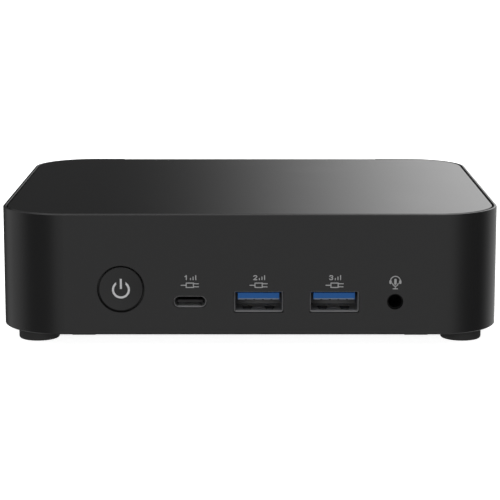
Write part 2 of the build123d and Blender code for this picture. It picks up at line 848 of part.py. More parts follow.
with BuildPart() as board_screws:
    with BuildSketch(Plane.XY.offset(board_z - board_screw_head_t)):
        with GridLocations(2 * board_post_x, 2 * board_post_y, 2, 2):
            Circle(board_screw_head_r)
    extrude(amount=board_screw_head_t)
    with BuildSketch(Plane.XY.offset(board_z - weld)):
        with GridLocations(2 * board_post_x, 2 * board_post_y, 2, 2):
            Circle(post_pilot_r - slip)
    extrude(amount=board_screw_len)
save(board_screws, "board_screws")

# ---- Processor, cold plate, heat pipes and fins ----
plate_z = board_top + substrate[2] + die[2]

with BuildPart() as processor:
    with BuildSketch(Plane.XY.offset(board_top)):
        with Locations((cpu_x, cpu_y)):
            Rectangle(substrate[0], substrate[1])
    extrude(amount=substrate[2])
    with BuildSketch(Plane.XY.offset(board_top + substrate[2])):
        with Locations((cpu_x, cpu_y)):
            Rectangle(die[0], die[1])
    extrude(amount=die[2])
save(processor, "processor")

pipe_z = plate_z + plate_t + pipe_r

with BuildPart() as cold_plate:
    with BuildSketch(Plane.XY.offset(plate_z)):
        with Locations((cpu_x, cpu_y)):
            RectangleRounded(*plate)
    extrude(amount=plate_t)
save(cold_plate, "cold_plate")

with BuildPart() as heat_pipes:
    for offset_x, end_y, bend in pipe_runs:
        reach = cpu_x + offset_x
        with BuildLine() as route:
            FilletPolyline((reach, cpu_y - pipe_start, pipe_z), (reach, end_y, pipe_z),
                           (fin_x[0] + pipe_inset, end_y, pipe_z), radius=bend)
        with BuildSketch(Plane(origin=route.line @ 0, z_dir=route.line % 0)):
            Circle(pipe_r)
        sweep(path=route.line)
save(heat_pipes, "heat_pipes")

fin_count = int((fin_x[1] - fin_x[0]) / fin_pitch)
with BuildPart() as fin_stack:
    with BuildSketch(Plane.YZ.offset(fin_x[0])):
        with Locations((sum(fin_y) / 2, sum(fin_z) / 2)):
            Rectangle(fin_y[1] - fin_y[0], fin_z[1] - fin_z[0])
    extrude(amount=fin_x[1] - fin_x[0])
    with BuildSketch(upright(fin_y[0] - cut_over)):
        with Locations((sum(fin_x) / 2, sum(fin_z) / 2)):
            with GridLocations(fin_pitch, 1, fin_count - 1, 1):
                Rectangle(fin_pitch - fin_t, fin_z[1] - fin_z[0] - 2 * fin_t)
    extrude(amount=-(fin_y[1] - fin_y[0] + 2 * cut_over), mode=Mode.SUBTRACT)
    with BuildSketch(Plane.YZ.offset(fin_x[0] - cut_over)):
        with Locations(*[(end_y, pipe_z) for offset_x, end_y, bend in pipe_runs]):
            Circle(pipe_r + pipe_fit)
    extrude(amount=fin_x[1] - fin_x[0] + 2 * cut_over, mode=Mode.SUBTRACT)
save(fin_stack, "fin_stack")

# ---- Blower: scroll housing, cover with the intake, and the impeller ----
with BuildPart() as blower_housing:
    with BuildSketch(Plane.XY.offset(fan_z)):
        with Locations((fan_x, fan_y)):
            Circle(fan_r)
        with Locations((fan_x - fan_r + outlet_w / 2, (fan_y + fin_y[0]) / 2)):
            Rectangle(outlet_w, fin_y[0] - fan_y - outlet_gap)
    extrude(amount=fan_h - top_t)
    with BuildSketch(Plane.XY.offset(fan_z + base_t)):
        with Locations((fan_x, fan_y)):
            Circle(fan_r - scroll_t)
        with Locations((fan_x - fan_r + outlet_w / 2, (fan_y + fin_y[0]) / 2 + cut_over)):
            Rectangle(outlet_w - 2 * scroll_t, fin_y[0] - fan_y - outlet_gap + 2 * cut_over)
    extrude(amount=fan_h, mode=Mode.SUBTRACT)
    with BuildSketch(Plane.XY.offset(fan_z + base_t - weld)):
        with Locations((fan_x, fan_y)):
            Circle(bearing_r)
    extrude(amount=bearing_h + weld)
    with BuildSketch(Plane.XY.offset(fan_z + base_t)):
        with Locations((fan_x, fan_y)):
            Circle(shaft_r + bearing_clearance)
    extrude(amount=bearing_h + cut_over, mode=Mode.SUBTRACT)
save(blower_housing, "blower_housing")

with BuildPart() as blower_cover:
    with BuildSketch(Plane.XY.offset(fan_z + fan_h - top_t)):
        with Locations((fan_x, fan_y)):
            Circle(fan_r)
        with Locations((fan_x - fan_r + outlet_w / 2, (fan_y + fin_y[0]) / 2)):
            Rectangle(outlet_w, fin_y[0] - fan_y - outlet_gap)
        with Locations((fan_x, fan_y)):
            Circle(intake_r, mode=Mode.SUBTRACT)
    extrude(amount=top_t)
save(blower_cover, "blower_cover")

rotor_z = fan_z + base_t + impeller_gap
rotor_h = fan_h - top_t - base_t - 2 * impeller_gap
with BuildPart() as impeller:
    with BuildSketch(Plane.XY.offset(rotor_z + hub_lift)):
        with Locations((fan_x, fan_y)):
            Circle(hub_r)
    extrude(amount=rotor_h - hub_lift)
    with BuildSketch(Plane.XY.offset(rotor_z)):
        with Locations((fan_x, fan_y)):
            Circle(hub_r - hub_wall)
    extrude(amount=rotor_h - hub_lift - hub_top_t, mode=Mode.SUBTRACT)
    with BuildSketch(Plane.XY.offset(rotor_z + disc_z)):
        with Locations((fan_x, fan_y)):
            Circle(impeller_r)
            Circle(hub_r - weld, mode=Mode.SUBTRACT)
    extrude(amount=disc_t)
    with BuildSketch(Plane.XY.offset(rotor_z + hub_lift)):
        with Locations((fan_x, fan_y)):
            with PolarLocations((hub_r + blade_gap[0] + impeller_r - blade_gap[1]) / 2, blade_count):
                Rectangle(impeller_r - hub_r - sum(blade_gap), blade_t, rotation=blade_angle)
    extrude(amount=rotor_h - 1.5 * hub_lift)
    with BuildSketch(Plane.XY.offset(fan_z + base_t + shaft_lift)):
        with Locations((fan_x, fan_y)):
            Circle(shaft_r)
    extrude(amount=rotor_h)
save(impeller, "impeller")

# ---- Memory modules, drive and radio card under the board ----
def memory_bank(y, label):
    """Socket with side arms and the module it holds, hanging under the board."""
    with BuildPart() as socket:
        with BuildSketch(Plane.XY.offset(board_z - socket_drop)):
            with Locations((memory_x, y)):
                Rectangle(memory_w + 2 * (arm_x + arm[0] / 2), socket_d)
            with Locations((memory_x - memory_w / 2 - arm_x, y + arm_y),
                           (memory_x + memory_w / 2 + arm_x, y + arm_y)):
                Rectangle(*arm)
        extrude(amount=socket_drop)
        with BuildSketch(Plane.XY.offset(board_z - socket_drop + module_lift - weld / 2)):
            with Locations((memory_x, y + module_y - module_len / 2 + socket_d / 2 - weld)):
                Rectangle(memory_w + 2 * weld, socket_d)
        extrude(amount=module_t + weld, mode=Mode.SUBTRACT)
    save(socket, label + "_socket")
    with BuildPart() as module:
        with BuildSketch(Plane.XY.offset(board_z - socket_drop + module_lift)):
            with Locations((memory_x, y + module_y)):
                Rectangle(memory_w, module_len)
        extrude(amount=module_t)
        with BuildSketch(Plane.XY.offset(board_z - socket_drop + module_lift - memory_chip[2])):
            with Locations((memory_x, y + memory_chip_y)):
                with GridLocations(memory_chip_pitch, 1, 4, 1):
                    Rectangle(memory_chip[0], memory_chip[1])
        extrude(amount=memory_chip[2] + weld)
    save(module, label + "_module")


for name, y in zip(("front", "rear"), memory_y):
    memory_bank(y, "memory_" + name)


def card(x, y, width, length, chips, label):
    """Plug-in card standing off the board, with its edge socket at the low-Y end."""
    with BuildPart() as socket:
        with BuildSketch(Plane.XY.offset(board_z - card_socket_drop)):
            with Locations((x, y)):
                Rectangle(width, socket_d)
        extrude(amount=card_socket_drop)
        with BuildSketch(Plane.XY.offset(card_z - weld / 2)):
            with Locations((x, y + socket_d / 2)):
                Rectangle(width + cut_over, socket_d)
        extrude(amount=card_t + weld, mode=Mode.SUBTRACT)
    save(socket, label + "_socket")
    with BuildPart() as board:
        with BuildSketch(Plane.XY.offset(card_z)):
            with Locations((x, y + card_inset + length / 2)):
                Rectangle(width, length)
            with Locations((x, y + card_inset + length)):
                Circle(card_hole_r, mode=Mode.SUBTRACT)
        extrude(amount=card_t)
        with BuildSketch(Plane.XY.offset(card_z - card_chip_t)):
            for chip_y, chip_l in chips:
                with Locations((x, y + chip_y)):
                    Rectangle(width - 2 * chip_side_gap, chip_l)
        extrude(amount=card_chip_t + weld)
    save(board, label)


card(drive_x, drive_y, card_w, drive_len, drive_chips, "solid_state_drive")
card(radio_x, radio_y, card_w, radio_len, radio_chips, "radio_card")
card_screw_places = ((drive_x, drive_y + card_inset + drive_len),
                     (radio_x, radio_y + card_inset + radio_len))

with BuildPart() as card_screws:
    with BuildSketch(Plane.XY.offset(card_z - card_head_t)):
        with Locations(*card_screw_places):
            Circle(card_head_r)
    extrude(amount=card_head_t)
    with BuildSketch(Plane.XY.offset(card_z - weld)):
        with Locations(*card_screw_places):
            Circle(card_screw_r)
    extrude(amount=board_z - card_z + weld)
save(card_screws, "card_screws")

with BuildPart() as coin_cell_holder:
    with BuildSketch(Plane.XY.offset(board_z - cell_base_t)):
        with Locations((cell_x, cell_y)):
            Circle(cell_wall[1])
    extrude(amount=cell_base_t)
    with BuildSketch(Plane.XY.offset(board_z - cell_base_t - cell_wall_h)):
        with Locations((cell_x, cell_y)):
            Circle(cell_wall[1])
            Circle(cell_wall[0], mode=Mode.SUBTRACT)
            Rectangle(*cell_window, mode=Mode.SUBTRACT)
    extrude(amount=cell_wall_h + weld)
save(coin_cell_holder, "coin_cell_holder")

with BuildPart() as coin_cell:
    with BuildSketch(Plane.XY.offset(board_z - cell_base_t - cell_t)):
        with Locations((cell_x, cell_y)):
            Circle(cell_r)
    extrude(amount=cell_t)
    fillet(coin_cell.faces().sort_by(Axis.Z)[0].edges(), radius=cell_round)
save(coin_cell, "coin_cell")

# ---- Small board parts: chokes and the two aerials ----
with BuildPart() as power_chokes:
    with BuildSketch(Plane.XY.offset(board_top)):
        with Locations((cpu_x, choke_y)):
            with GridLocations(choke_pitch, 1, choke_count, 1):
                RectangleRounded(*choke)
    extrude(amount=choke_h)
save(power_chokes, "power_chokes")


def aerial(side, label):
    """Flat aerial strip on the inner face of one side wall, above the board."""
    with BuildPart() as strip:
        with BuildSketch(Plane.YZ.offset(side * (case_w / 2 - wall - aerial_size[2]))):
            with Locations((0, aerial_z)):
                Rectangle(aerial_size[0], aerial_size[1])
        extrude(amount=side * aerial_size[2])
    save(strip, label)


aerial(-1, "aerial_left")
aerial(1, "aerial_right")
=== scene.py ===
"""Slim mini PC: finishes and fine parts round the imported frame.

Metres, +Z up, front face towards -Y. Places come from the frame's own boxes.
"""
import logging
import math
from dataclasses import dataclass
from enum import Enum

import bpy
import numpy as np
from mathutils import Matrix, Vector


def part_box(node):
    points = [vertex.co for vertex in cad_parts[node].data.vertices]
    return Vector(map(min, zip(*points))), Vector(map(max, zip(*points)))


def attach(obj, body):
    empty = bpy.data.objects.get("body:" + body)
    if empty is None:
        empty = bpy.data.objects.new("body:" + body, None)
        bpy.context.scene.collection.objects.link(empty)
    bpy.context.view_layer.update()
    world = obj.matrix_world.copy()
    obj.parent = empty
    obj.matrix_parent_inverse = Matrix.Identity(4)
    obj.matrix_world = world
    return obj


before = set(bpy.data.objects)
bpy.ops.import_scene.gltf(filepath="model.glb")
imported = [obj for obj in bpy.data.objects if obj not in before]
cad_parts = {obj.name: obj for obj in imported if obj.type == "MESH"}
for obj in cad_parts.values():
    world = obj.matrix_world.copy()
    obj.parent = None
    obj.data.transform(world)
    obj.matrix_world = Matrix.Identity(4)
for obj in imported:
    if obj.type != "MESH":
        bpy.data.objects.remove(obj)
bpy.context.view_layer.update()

LOG = logging.getLogger("mini_pc")
MM = 0.001
Colour = tuple[float, float, float]
Point = tuple[float, float, float]


class Body(str, Enum):
    """The rigid bodies of the frame."""

    CASE = "case"
    BUTTON = "button"
    FAN = "fan"


# ---------------------------------------------------------------- node groups
class GroupMaker:
    """Starts a shader node group and adds its sockets."""

    def __init__(self, name: str) -> None:
        """Makes an empty group.

        Args:
            name: the group's name.
        """
        self.tree = bpy.data.node_groups.new(name, "ShaderNodeTree")
        self.inputs = self.tree.nodes.new("NodeGroupInput")
        self.outputs = self.tree.nodes.new("NodeGroupOutput")

    def take(self, name: str, kind: str, value: float | None = None) -> None:
        """Adds an input socket.

        Args:
            name: socket name.
            kind: "Float" or "Vector".
            value: default, for a float.
        """
        sock = self.tree.interface.new_socket(name, in_out="INPUT", socket_type="NodeSocket" + kind)
        if value is not None:
            sock.default_value = value

    def give(self, name: str, source: bpy.types.NodeSocket) -> None:
        """Adds a float output socket fed by source.

        Args:
            name: socket name.
            source: the socket that feeds it.
        """
        self.tree.interface.new_socket(name, in_out="OUTPUT", socket_type="NodeSocketFloat")
        self.tree.links.new(source, self.outputs.inputs[name])

    def add(self, kind: str, **settings: object) -> bpy.types.Node:
        """Adds a node and sets its plain properties.

        Args:
            kind: node type without the "ShaderNode" prefix.
            settings: attribute values.

        Returns:
            The new node.
        """
        node = self.tree.nodes.new("ShaderNode" + kind)
        for key, value in settings.items():
            setattr(node, key, value)
        return node

    def noise(self, vector: bpy.types.NodeSocket, scale: object, detail: float, rough: float) -> object:
        """Adds a noise texture.

        Args:
            vector: coordinates.
            scale: a number or a socket.
            detail: octaves.
            rough: octave weight.

        Returns:
            Its factor socket.
        """
        node = self.add("TexNoise")
        self.tree.links.new(vector, node.inputs["Vector"])
        if isinstance(scale, (int, float)):
            node.inputs["Scale"].default_value = scale
        else:
            self.tree.links.new(scale, node.inputs["Scale"])
        node.inputs["Detail"].default_value = detail
        node.inputs["Roughness"].default_value = rough
        return node.outputs["Fac"]

    def spread(self, source: object, low: float, high: float, to_low: float, to_high: float) -> object:
        """Maps source from low..high to to_low..to_high, clamped and smooth.

        Returns:
            The result socket.
        """
        node = self.add("MapRange", interpolation_type="SMOOTHSTEP")
        self.tree.links.new(source, node.inputs["Value"])
        for key, value in zip(("From Min", "From Max", "To Min", "To Max"), (low, high, to_low, to_high)):
            node.inputs[key].default_value = value
        return node.outputs["Result"]

    def maths(self, operation: str, first: object, second: object) -> object:
        """Adds a Math node.

        Returns:
            Its value socket.
        """
        node = self.add("Math", operation=operation)
        for slot_index, value in enumerate((first, second)):
            if isinstance(value, (int, float)):
                node.inputs[slot_index].default_value = value
            else:
                self.tree.links.new(value, node.inputs[slot_index])
        return node.outputs["Value"]


class Effects:
    """The shared effects, each a node group built once."""

    def __init__(self) -> None:
        """Builds every group."""
        self.grain = self._grain()
        self.smudge = self._smudge()
        self.dust = self._dust()
        self.brushing = self._brushing()

    @staticmethod
    def _grain() -> bpy.types.NodeTree:
        """Fine moulded grain: two noises of the given scale and twice it."""
        maker = GroupMaker("fine_grain")
        maker.take("Vector", "Vector")
        maker.take("Scale", "Float", 9000.0)
        coords = maker.inputs.outputs["Vector"]
        scale = maker.inputs.outputs["Scale"]
        coarse = maker.noise(coords, scale, 2.0, 0.5)
        finer = maker.noise(coords, maker.maths("MULTIPLY", scale, 2.3), 1.0, 0.5)
        total = maker.maths("ADD", maker.maths("MULTIPLY", coarse, 0.65), maker.maths("MULTIPLY", finer, 0.35))
        maker.give("Height", total)
        maker.give("Speck", maker.spread(finer, 0.35, 0.7, 0.0, 1.0))
        return maker.tree

    @staticmethod
    def _smudge() -> bpy.types.NodeTree:
        """Broad patches left by handling: a stretched low noise broken by a finer one."""
        maker = GroupMaker("handling_smudge")
        maker.take("Vector", "Vector")
        coords = maker.inputs.outputs["Vector"]
        broad = maker.noise(coords, 38.0, 3.0, 0.55)
        streak = maker.noise(coords, 420.0, 4.0, 0.6)
        patches = maker.spread(broad, 0.42, 0.68, 0.0, 1.0)
        broken = maker.spread(streak, 0.3, 0.7, 0.55, 1.0)
        maker.give("Mask", maker.maths("MULTIPLY", patches, broken))
        return maker.tree

    @staticmethod
    def _dust() -> bpy.types.NodeTree:
        """Settled dust: sparse specks, more where the surface faces up."""
        maker = GroupMaker("settled_dust")
        maker.take("Vector", "Vector")
        coords = maker.inputs.outputs["Vector"]
        specks = maker.spread(maker.noise(coords, 2600.0, 1.0, 0.4), 0.70, 0.80, 0.0, 1.0)
        geometry = maker.add("NewGeometry")
        split = maker.add("SeparateXYZ")
        maker.tree.links.new(geometry.outputs["Normal"], split.inputs["Vector"])
        upward = maker.spread(split.outputs["Z"], 0.0, 1.0, 0.15, 1.0)
        maker.give("Mask", maker.maths("MULTIPLY", specks, upward))
        return maker.tree

    @staticmethod
    def _brushing() -> bpy.types.NodeTree:
        """Rolled sheet lines: noise squeezed hard across one direction."""
        maker = GroupMaker("rolled_lines")
        maker.take("Vector", "Vector")
        stretch = maker.add("Mapping")
        maker.tree.links.new(maker.inputs.outputs["Vector"], stretch.inputs["Vector"])
        stretch.inputs["Scale"].default_value = (900.0, 9000.0, 9000.0)
        lines = maker.noise(stretch.outputs["Vector"], 1.0, 3.0, 0.6)
        maker.give("Height", lines)
        maker.give("Mask", maker.spread(lines, 0.3, 0.7, 0.0, 1.0))
        return maker.tree


# ------------------------------------------------------------------- finishes
class Shader:
    """A material under construction, with the short helpers that the finishes use."""

    def __init__(self, name: str, effects: Effects) -> None:
        """Starts a material with one Principled shader.

        Args:
            name: material name.
            effects: the shared node groups.
        """
        self.effects = effects
        self.material = bpy.data.materials.new(name)
        self.material.use_nodes = True
        self.tree = self.material.node_tree
        self.tree.nodes.clear()
        self.out = self.tree.nodes.new("ShaderNodeOutputMaterial")
        self.bsdf = self.tree.nodes.new("ShaderNodeBsdfPrincipled")
        self.tree.links.new(self.bsdf.outputs["BSDF"], self.out.inputs["Surface"])
        self.coords = self.tree.nodes.new("ShaderNodeTexCoord").outputs["Object"]

    def group(self, tree: bpy.types.NodeTree, scale: float | None = None) -> bpy.types.Node:
        """Places a shared group on the Object coordinates.

        Args:
            tree: the node group.
            scale: its Scale input, where it has one.

        Returns:
            The group node.
        """
        node = self.tree.nodes.new("ShaderNodeGroup")
        node.node_tree = tree
        self.tree.links.new(self.coords, node.inputs["Vector"])
        if scale is not None:
            node.inputs["Scale"].default_value = scale
        return node

    def blend(self, mask: bpy.types.NodeSocket, base: object, over: Colour, amount: float) -> object:
        """Mixes a colour over a base by a mask.

        Args:
            mask: 0..1 socket.
            base: a colour or a colour socket.
            over: the colour laid over.
            amount: strongest share of it.

        Returns:
            The colour socket.
        """
        share = self.tree.nodes.new("ShaderNodeMath")
        share.operation = "MULTIPLY"
        self.tree.links.new(mask, share.inputs[0])
        share.inputs[1].default_value = amount
        mix = self.tree.nodes.new("ShaderNodeMix")
        mix.data_type = "RGBA"
        self.tree.links.new(share.outputs[0], mix.inputs["Factor"])
        if isinstance(base, tuple):
            mix.inputs[6].default_value = (*base, 1.0)
        else:
            self.tree.links.new(base, mix.inputs[6])
        mix.inputs[7].default_value = (*over, 1.0)
        return mix.outputs[2]

    def vary(self, mask: bpy.types.NodeSocket, low: float, high: float, socket: str) -> None:
        """Feeds a number that follows a mask to one of the shader's sockets.

        Args:
            mask: 0..1 socket.
            low: value where the mask is 0.
            high: value where it is 1.
            socket: the shader socket.
        """
        node = self.tree.nodes.new("ShaderNodeMapRange")
        self.tree.links.new(mask, node.inputs["Value"])
        node.inputs["To Min"].default_value = low
        node.inputs["To Max"].default_value = high
        self.tree.links.new(node.outputs["Result"], self.bsdf.inputs[socket])

    def relief(self, height: bpy.types.NodeSocket, depth: float) -> None:
        """Feeds a bump of the given depth in metres to the shader's normal."""
        bump = self.tree.nodes.new("ShaderNodeBump")
        bump.inputs["Strength"].default_value = 1.0
        bump.inputs["Distance"].default_value = depth
        self.tree.links.new(height, bump.inputs["Height"])
        self.tree.links.new(bump.outputs["Normal"], self.bsdf.inputs["Normal"])

    def colour(self, source: object) -> None:
        """Feeds a colour socket to Base Color."""
        self.tree.links.new(source, self.bsdf.inputs["Base Color"])


@dataclass(frozen=True)
class Moulded:
    """Moulded plastic or rubber: fine grain, handling patches and dust."""

    name: str
    base: Colour
    roughness: float
    grain_scale: float = 9000.0
    grain_depth: float = 6e-6
    smudge: float = 0.06
    dust: float = 0.10
    specular: float = 0.5
    coat: float = 0.0

    def build(self, effects: Effects) -> bpy.types.Material:
        """Builds the material.

        Args:
            effects: the shared node groups.

        Returns:
            The material.
        """
        shader = Shader(self.name, effects)
        grain = shader.group(effects.grain, self.grain_scale)
        smudge = shader.group(effects.smudge)
        dust = shader.group(effects.dust)
        lighter = tuple(min(1.0, c * 1.35 + 0.004) for c in self.base)
        tone = shader.blend(grain.outputs["Speck"], self.base, lighter, 0.35)
        shader.colour(shader.blend(dust.outputs["Mask"], tone, (0.30, 0.29, 0.27), self.dust))
        shader.vary(smudge.outputs["Mask"], self.roughness, self.roughness - self.smudge, "Roughness")
        shader.relief(grain.outputs["Height"], self.grain_depth)
        shader.bsdf.inputs["Specular IOR Level"].default_value = self.specular
        shader.bsdf.inputs["Coat Weight"].default_value = self.coat
        shader.bsdf.inputs["Coat Roughness"].default_value = 0.15
        return shader.material


@dataclass(frozen=True)
class Sheet:
    """Rolled or plated metal: fine lines and tarnish."""

    name: str
    base: Colour
    tarnish: Colour
    roughness: float
    metallic: float = 1.0
    line_depth: float = 3e-6

    def build(self, effects: Effects) -> bpy.types.Material:
        """Builds the material.

        Args:
            effects: the shared node groups.

        Returns:
            The material.
        """
        shader = Shader(self.name, effects)
        lines = shader.group(effects.brushing)
        smudge = shader.group(effects.smudge)
        shader.colour(shader.blend(smudge.outputs["Mask"], self.base, self.tarnish, 0.45))
        shader.vary(lines.outputs["Mask"], self.roughness - 0.05, self.roughness + 0.08, "Roughness")
        shader.relief(lines.outputs["Height"], self.line_depth)
        shader.bsdf.inputs["Metallic"].default_value = self.metallic
        return shader.material


@dataclass(frozen=True)
class Board:
    """Laminated board: solder mask with a faint copper track pattern under it."""

    name: str
    base: Colour
    track: Colour

    def build(self, effects: Effects) -> bpy.types.Material:
        """Builds the material.

        Args:
            effects: the shared node groups.

        Returns:
            The material.
        """
        shader = Shader(self.name, effects)
        grain = shader.group(effects.grain, 5000.0)
        bricks = shader.tree.nodes.new("ShaderNodeTexBrick")
        shader.tree.links.new(shader.coords, bricks.inputs["Vector"])
        bricks.inputs["Scale"].default_value = 320.0
        bricks.inputs["Mortar Size"].default_value = 0.09
        for key, value in (("Color1", self.base), ("Color2", tuple(c * 0.8 for c in self.base)),
                           ("Mortar", self.track)):
            bricks.inputs[key].default_value = (*value, 1.0)
        shader.colour(shader.blend(grain.outputs["Speck"], bricks.outputs["Color"], self.track, 0.2))
        shader.vary(grain.outputs["Speck"], 0.32, 0.45, "Roughness")
        shader.relief(bricks.outputs["Fac"], 8e-6)
        return shader.material


@dataclass(frozen=True)
class Ink:
    """Screen print: matt light ink that is a little thin in places."""

    name: str
    base: Colour
    ground: Colour
    roughness: float = 0.55

    def build(self, effects: Effects) -> bpy.types.Material:
        """Builds the material.

        Args:
            effects: the shared node groups.

        Returns:
            The material.
        """
        shader = Shader(self.name, effects)
        grain = shader.group(effects.grain, 7000.0)
        shader.colour(shader.blend(grain.outputs["Speck"], self.base, self.ground, 0.18))
        shader.vary(grain.outputs["Speck"], self.roughness, self.roughness + 0.1, "Roughness")
        shader.relief(grain.outputs["Height"], 4e-6)
        return shader.material


class Palette:
    """Every finish of the object, built once."""

    def __init__(self) -> None:
        """Builds the effects and the materials."""
        effects = Effects()
        finishes = {
            "shell": Moulded("satin_black_shell", (0.0160, 0.0160, 0.0163), 0.24, 9000.0, 1.6e-6, dust=0.03),
            "lid": Moulded("smooth_black_lid", (0.0105, 0.0105, 0.0108), 0.17, 14000.0, 0.8e-6, 0.02, 0.015),
            "cover": Moulded("powder_coated_cover", (0.024, 0.024, 0.025), 0.55, 3800.0, 2.0e-5, 0.05, 0.12),
            "rubber": Moulded("foot_rubber", (0.036, 0.036, 0.036), 0.72, 5200.0, 1.0e-5, 0.05, 0.10, 0.35),
            "button": Moulded("button_black", (0.0145, 0.0145, 0.0148), 0.30, 9000.0, 2.0e-6, dust=0.03),
            "symbol": Moulded("symbol_light_grey", (0.60, 0.60, 0.61), 0.4, 6000.0, 2.0e-6, 0.05, 0.0),
            "blue": Moulded("blue_insulator", (0.020, 0.130, 0.42), 0.36, 6000.0, 3.0e-6, 0.05, 0.03, 0.3),
            # painted highlight: pale copy of the blue insulator for the lit lower edge of each tongue
            "edge": Moulded("painted_highlight_tongue_edge", (0.19, 0.24, 0.33), 0.40, 6000.0, 3.0e-6, 0.05, 0.0),
            # painted light: brighter copy of the socket plating, laid on the lit floor of the oval socket
            "lining": Moulded("painted_light_plating", (0.36, 0.36, 0.365), 0.55, 6000.0, 3.0e-6, 0.05, 0.0),
            # painted shade: grey sheet that stands in for the shadow deep under each wide socket's tongue
            "wall": Moulded("painted_shade_back_wall", (0.15, 0.15, 0.152), 0.55, 6000.0, 3.0e-6, 0.05, 0.0),
            "dark": Moulded("black_insulator", (0.010, 0.010, 0.011), 0.40, 6000.0, 3.0e-6, 0.05, 0.03),
            "jack": Moulded("jack_black", (0.004, 0.004, 0.004), 0.60, 6000.0, 3.0e-6, 0.05, 0.0, 0.2),
            "chip": Moulded("chip_package", (0.016, 0.016, 0.017), 0.50, 8000.0, 5.0e-6, 0.04, 0.15),
            "fan": Moulded("fan_black", (0.015, 0.015, 0.016), 0.42, 7000.0, 4.0e-6, 0.05, 0.25),
            "steel": Sheet("plated_sheet", (0.23, 0.23, 0.235), (0.15, 0.15, 0.155), 0.55, 0.22),
            "screw": Sheet("blackened_screw", (0.10, 0.10, 0.105), (0.05, 0.05, 0.05), 0.36),
            # painted shade: darker copy of the socket plating for the grip springs, which lie in shadow
            "spring": Sheet("painted_shade_springs", (0.06, 0.06, 0.062), (0.03, 0.03, 0.03), 0.45, 0.5),
            "cell": Sheet("cell_steel", (0.50, 0.50, 0.51), (0.36, 0.36, 0.37), 0.34),
            "gold": Sheet("gold_contacts", (0.82, 0.60, 0.25), (0.62, 0.42, 0.16), 0.28),
            "copper": Sheet("plated_copper", (0.78, 0.40, 0.25), (0.52, 0.26, 0.16), 0.32),
            "fin": Sheet("bare_fins", (0.66, 0.67, 0.68), (0.46, 0.47, 0.48), 0.38),
            "board": Board("solder_mask", (0.008, 0.034, 0.020), (0.020, 0.070, 0.035)),
            "ink": Ink("grey_print", (0.42, 0.42, 0.425), (0.12, 0.12, 0.12)),
        }
        self._materials = {key: finish.build(effects) for key, finish in finishes.items()}

    def __getitem__(self, key: str) -> bpy.types.Material:
        """Returns the material of that key."""
        return self._materials[key]


def dress(node: str, material: bpy.types.Material) -> None:
    """Gives a CAD node its material.

    Args:
        node: node name.
        material: the finish.
    """
    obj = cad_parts[node]
    if not obj.material_slots:
        obj.data.materials.append(material)
    for slot in obj.material_slots:
        slot.material = material
    LOG.info("dressed %s with %s", node, material.name)


# ------------------------------------------------------------------- surfaces
def grid_mesh(name: str, points: np.ndarray, close_v: bool, caps: bool) -> bpy.types.Object:
    """Turns a grid of points into a mesh of quads, with fan caps at both ends of the first parameter.

    Args:
        name: object name.
        points: array of shape (rows, columns, 3).
        close_v: joins the last column to the first.
        caps: closes the first and the last row with a fan round its middle.

    Returns:
        The new object, linked to the scene.
    """
    rows, cols, _ = points.shape
    verts = points.reshape(-1, 3)
    i, j = np.meshgrid(np.arange(rows - 1), np.arange(cols if close_v else cols - 1), indexing="ij")
    k = (j + 1) % cols
    quads = np.stack([i * cols + j, i * cols + k, (i + 1) * cols + k, (i + 1) * cols + j], -1).reshape(-1, 4)
    faces = quads.tolist()
    if caps:
        ring = np.arange(cols)
        after = (ring + 1) % cols
        middles = np.stack([points[0].mean(0), points[-1].mean(0)])
        verts = np.concatenate([verts, middles])
        first, last = rows * cols, rows * cols + 1
        base = (rows - 1) * cols
        faces += np.stack([after, ring, np.full(cols, first)], -1).tolist()
        faces += np.stack([base + ring, base + after, np.full(cols, last)], -1).tolist()
    mesh = bpy.data.meshes.new(name)
    mesh.from_pydata(verts.tolist(), [], faces)
    mesh.update()
    mesh.polygons.foreach_set("use_smooth", np.ones(len(mesh.polygons), dtype=bool))
    obj = bpy.data.objects.new(name, mesh)
    bpy.context.scene.collection.objects.link(obj)
    outward(obj)
    return obj


def outward(obj: bpy.types.Object) -> None:
    """Turns a closed mesh's faces outwards where its signed volume is negative."""
    mesh = obj.data
    mesh.calc_loop_triangles()
    coords = np.empty(len(mesh.vertices) * 3)
    mesh.vertices.foreach_get("co", coords)
    corners = np.empty(len(mesh.loop_triangles) * 3, dtype=np.int32)
    mesh.loop_triangles.foreach_get("vertices", corners)
    tri = coords.reshape(-1, 3)[corners].reshape(-1, 3, 3)
    if np.einsum("ij,ij->i", tri[:, 0], np.cross(tri[:, 1], tri[:, 2])).sum() < 0:
        mesh.flip_normals()


def joined(name: str, parts: list[bpy.types.Object]) -> bpy.types.Object:
    """Joins several new objects into one.

    Args:
        name: name of the result.
        parts: objects with their place in their meshes.

    Returns:
        The joined object.
    """
    arrays, faces, start = [], [], 0
    for part in parts:
        mesh = part.data
        coords = np.empty(len(mesh.vertices) * 3)
        mesh.vertices.foreach_get("co", coords)
        arrays.append(coords.reshape(-1, 3))
        faces += [[v + start for v in poly.vertices] for poly in mesh.polygons]
        start += len(mesh.vertices)
        bpy.data.objects.remove(part)
        bpy.data.meshes.remove(mesh)
    whole = bpy.data.meshes.new(name)
    whole.from_pydata(np.concatenate(arrays).tolist(), [], faces)
    whole.update()
    whole.polygons.foreach_set("use_smooth", np.ones(len(whole.polygons), dtype=bool))
    obj = bpy.data.objects.new(name, whole)
    bpy.context.scene.collection.objects.link(obj)
    return obj


